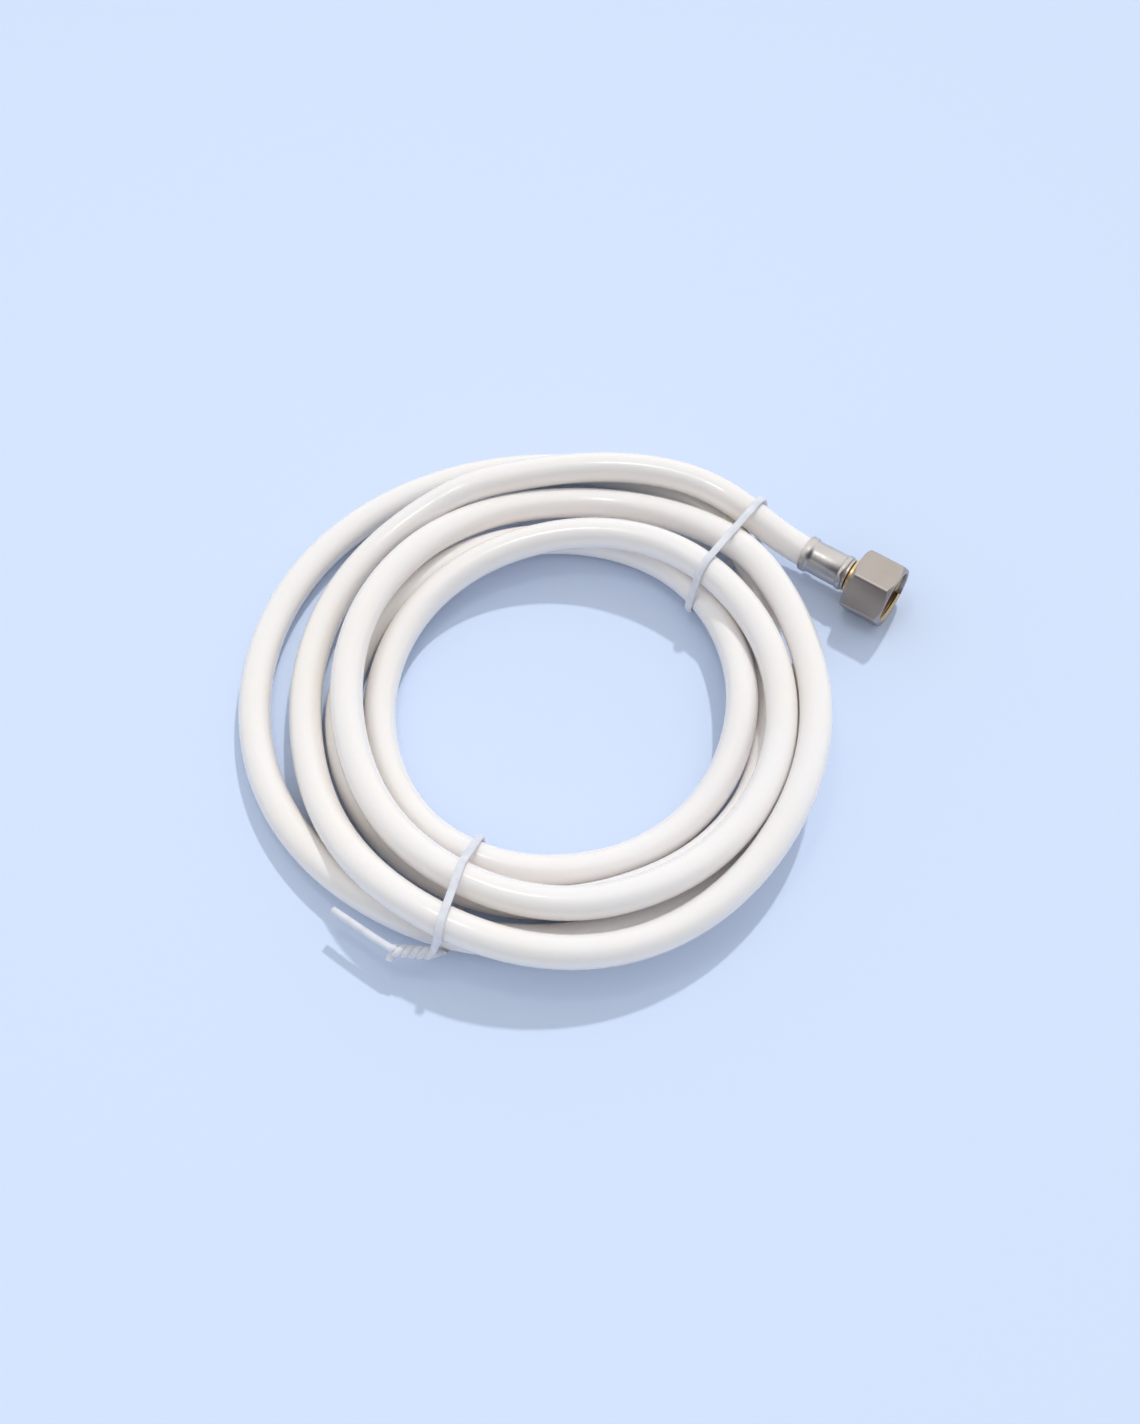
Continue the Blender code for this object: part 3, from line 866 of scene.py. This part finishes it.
def smooth_path(path, spacing):
    """The path again, at an even spacing on a curve eased through it."""
    places = [np.array(place) for place, _, _ in path]
    facings = [np.array(facing) for _, facing, _ in path]
    lengths = np.concatenate([[0.0], np.cumsum([np.linalg.norm(b - a) for a, b in zip(places, places[1:])])])
    count = max(int(lengths[-1] / spacing), 8)
    wanted = np.linspace(0.0, lengths[-1], count + 1)
    eased = np.stack([np.interp(wanted, lengths, [p[axis] for p in places]) for axis in range(3)], 1)
    turned = np.stack([np.interp(wanted, lengths, [f[axis] for f in facings]) for axis in range(3)], 1)
    rounded = np.interp(wanted, lengths, [roundness for _, _, roundness in path])
    for _ in range(4):
        eased[1:-1] = eased[:-2] * 0.25 + eased[1:-1] * 0.5 + eased[2:] * 0.25
        turned[1:-1] = turned[:-2] * 0.25 + turned[1:-1] * 0.5 + turned[2:] * 0.25
    return [
        (Vector(place), Vector(facing).normalized(), share)
        for place, facing, share in zip(eased, turned, rounded)
    ]


def ribbon(path, ties):
    """A bmesh of a coated wire: a flat ribbon with a rib along it, rolled where the path is round."""
    shape = bmesh.new()
    half, thin, core = ties.width * MM / 2, ties.thickness * MM / 2, ties.core * MM / 2
    rolled = ties.twisted * MM / 2
    loops = []
    for index, (place, facing, share) in enumerate(path):
        before = path[max(index - 1, 0)][0]
        after = path[min(index + 1, len(path) - 1)][0]
        forward = (after - before).normalized()
        across = forward.cross(facing).normalized()
        up = across.cross(forward).normalized()
        turn = Matrix((across, up, forward)).transposed().to_4x4()
        ring = bmesh.ops.create_circle(
            shape, cap_ends=False, radius=1.0, segments=RIBBON_SIDES, matrix=Matrix.Translation(place) @ turn
        )["verts"]
        for vert in ring:
            offset = vert.co - place
            sideways, height = offset.dot(across), offset.dot(up)
            rib = math.exp(-((sideways / 0.35) ** 2))
            flat = (thin + (core - thin) * rib) * math.copysign(abs(height) ** 0.55, height)
            tall = flat * (1.0 - share) + rolled * height * share
            wide = half * (1.0 - share) + rolled * 1.08 * share
            vert.co = place + across * sideways * wide + up * tall
        loops.append(list(dict.fromkeys(edge for vert in ring for edge in vert.link_edges)))
    for first, second in zip(loops, loops[1:]):
        bmesh.ops.bridge_loops(shape, edges=first + second)
    for ends in (loops[0], loops[-1]):
        edges = [edge for edge in ends if edge.is_valid]
        bmesh.ops.holes_fill(shape, edges=edges, sides=0)
    return shape


class HOSE_OT_add_ties(bpy.types.Operator):
    """Adds the two twist ties, each one coated wire round the whole coil with a twist and two loose ends"""

    bl_idname = "hose.add_ties"
    bl_label = "Add twist ties"

    def execute(self, context):
        hose, ties = context.scene.hose_settings, context.scene.tie_settings
        line, centre = hose_line(hose)
        skin = tie_coating(ties)
        for name, tie in TIES.items():
            path = smooth_path(tie_path(tie, line, centre, hose), RIBBON_SPACING)
            shape = ribbon(path, ties)
            finish_mesh("coated_" + name, shape, "hose_and_fitting", skin, [name], 50.0)
        return {"FINISHED"}


class HOSE_OT_add_stage(bpy.types.Operator):
    """Adds the camera, the pale floor, the main lamp and the soft light all round"""

    bl_idname = "hose.add_stage"
    bl_label = "Add stage"

    def execute(self, context):
        stage = context.scene.stage_settings
        _, centre = hose_line(context.scene.hose_settings)
        right = polar(1.0, VIEW_AZIMUTH)
        away = polar(1.0, VIEW_AZIMUTH + 90.0)
        up = Vector((0.0, 0.0, 1.0))
        target = centre + right * TARGET_RIGHT + away * TARGET_AWAY
        elevation = math.radians(VIEW_ELEVATION)
        back = away * -math.cos(elevation) + up * math.sin(elevation)

        data = bpy.data.cameras.new("camera")
        data.lens = stage.lens
        data.sensor_width = 36.0
        data.clip_start = 0.01
        camera = bpy.data.objects.new("camera", data)
        camera.location = target + back * stage.distance
        camera.rotation_euler = (-back).to_track_quat("-Z", "Y").to_euler()
        context.scene.collection.objects.link(camera)
        context.scene.camera = camera

        self.add_floor(context, stage)
        self.add_lamps(context, stage, Matrix((right, away, up)).transposed(), target)
        self.add_world(context, stage, away)
        context.scene.view_settings.view_transform = "Standard"
        return {"FINISHED"}

    def add_floor(self, context, stage):
        shape = bmesh.new()
        bmesh.ops.create_grid(
            shape, x_segments=1, y_segments=1, size=3.0, matrix=Matrix.Translation((0.0, 0.0, -0.00005))
        )
        mesh = bpy.data.meshes.new("floor")
        shape.to_mesh(mesh)
        shape.free()
        floor = bpy.data.objects.new("floor", mesh)
        context.scene.collection.objects.link(floor)
        made, tree, shader = new_material("pale_blue_floor", tuple(stage.floor), 0.9)
        shader.inputs["Specular IOR Level"].default_value = 0.1
        mesh.materials.append(made)

    def add_lamps(self, context, stage, directions, target):
        sun = bpy.data.lights.new("main_lamp", "SUN")
        sun.energy = stage.sun
        sun.angle = math.radians(2.5)
        softbox = bpy.data.lights.new("overhead_softbox", "AREA")
        softbox.shape = "DISK"
        softbox.size = 0.14
        softbox.energy = stage.softbox
        for data, steps in ((sun, MAIN_LAMP), (softbox, SOFTBOX)):
            lamp = bpy.data.objects.new(data.name, data)
            towards = directions @ Vector(steps)
            lamp.rotation_euler = towards.to_track_quat("Z", "Y").to_euler()
            lamp.location = target + towards
            lamp.visible_glossy = data is not sun
            context.scene.collection.objects.link(lamp)

    def add_world(self, context, stage, away):
        """Soft light all round, whose reflections are bright behind the hose and darker on the near side."""
        world = bpy.data.worlds.new("soft_light")
        context.scene.world = world
        world.use_nodes = True
        tree = world.node_tree
        plain = tree.nodes["Background"]
        plain.inputs["Color"].default_value = (0.93, 0.96, 1.0, 1.0)
        plain.inputs["Strength"].default_value = stage.fill
        direction = tree.nodes.new("ShaderNodeTexCoord")
        side = tree.nodes.new("ShaderNodeVectorMath")
        side.operation = "DOT_PRODUCT"
        side.inputs[1].default_value = away
        tree.links.new(direction.outputs["Generated"], side.inputs[0])
        eased = tree.nodes.new("ShaderNodeMapRange")
        eased.interpolation_type = "SMOOTHSTEP"
        eased.inputs["From Min"].default_value = -0.62
        eased.inputs["From Max"].default_value = 0.0
        tree.links.new(side.outputs["Value"], eased.inputs["Value"])
        studio = tree.nodes.new("ShaderNodeBackground")
        studio.inputs["Strength"].default_value = 1.2
        shades = ramp(tree, eased.outputs["Result"], (0.06, 0.07, 0.10), (1.0, 0.99, 0.97), 0.0, 1.0)
        tree.links.new(shades, studio.inputs["Color"])
        path = tree.nodes.new("ShaderNodeLightPath")
        either = tree.nodes.new("ShaderNodeMixShader")
        tree.links.new(path.outputs["Is Glossy Ray"], either.inputs["Fac"])
        tree.links.new(plain.outputs["Background"], either.inputs[1])
        tree.links.new(studio.outputs["Background"], either.inputs[2])
        tree.links.new(either.outputs["Shader"], tree.nodes["World Output"].inputs["Surface"])


class HOSE_PT_panel(bpy.types.Panel):
    """Lists the hose's pieces and their sizes"""

    bl_idname = "HOSE_PT_panel"
    bl_label = "Coiled hose"
    bl_space_type = "VIEW_3D"
    bl_region_type = "UI"
    bl_category = "Hose"

    def draw(self, context):
        for operator in OPERATORS:
            self.layout.operator(operator.bl_idname)
        for name in SETTINGS:
            settings = getattr(context.scene, name)
            box = self.layout.box()
            for prop in settings.bl_rna.properties:
                if prop.identifier not in {"rna_type", "name"}:
                    box.prop(settings, prop.identifier)


SETTINGS = {
    "hose_settings": HoseSettings,
    "fitting_settings": FittingSettings,
    "tie_settings": TieSettings,
    "stage_settings": StageSettings,
}
OPERATORS = (
    HOSE_OT_add_stage,
    HOSE_OT_add_hose,
    HOSE_OT_add_ferrule,
    HOSE_OT_add_nipple,
    HOSE_OT_add_washer,
    HOSE_OT_add_nut,
    HOSE_OT_add_ties,
)


def register():
    for name, group in SETTINGS.items():
        bpy.utils.register_class(group)
        setattr(bpy.types.Scene, name, PointerProperty(type=group))
    for item in (*OPERATORS, HOSE_PT_panel):
        bpy.utils.register_class(item)


def unregister():
    for item in reversed((*OPERATORS, HOSE_PT_panel)):
        bpy.utils.unregister_class(item)
    for name, group in SETTINGS.items():
        delattr(bpy.types.Scene, name)
        bpy.utils.unregister_class(group)


def main():
    register()
    bpy.ops.hose.add_stage()
    bpy.ops.hose.add_hose()
    bpy.ops.hose.add_ferrule()
    bpy.ops.hose.add_nipple()
    bpy.ops.hose.add_washer()
    bpy.ops.hose.add_nut()
    bpy.ops.hose.add_ties()
    bpy.context.view_layer.update()


if __name__ == "__main__":
    main()
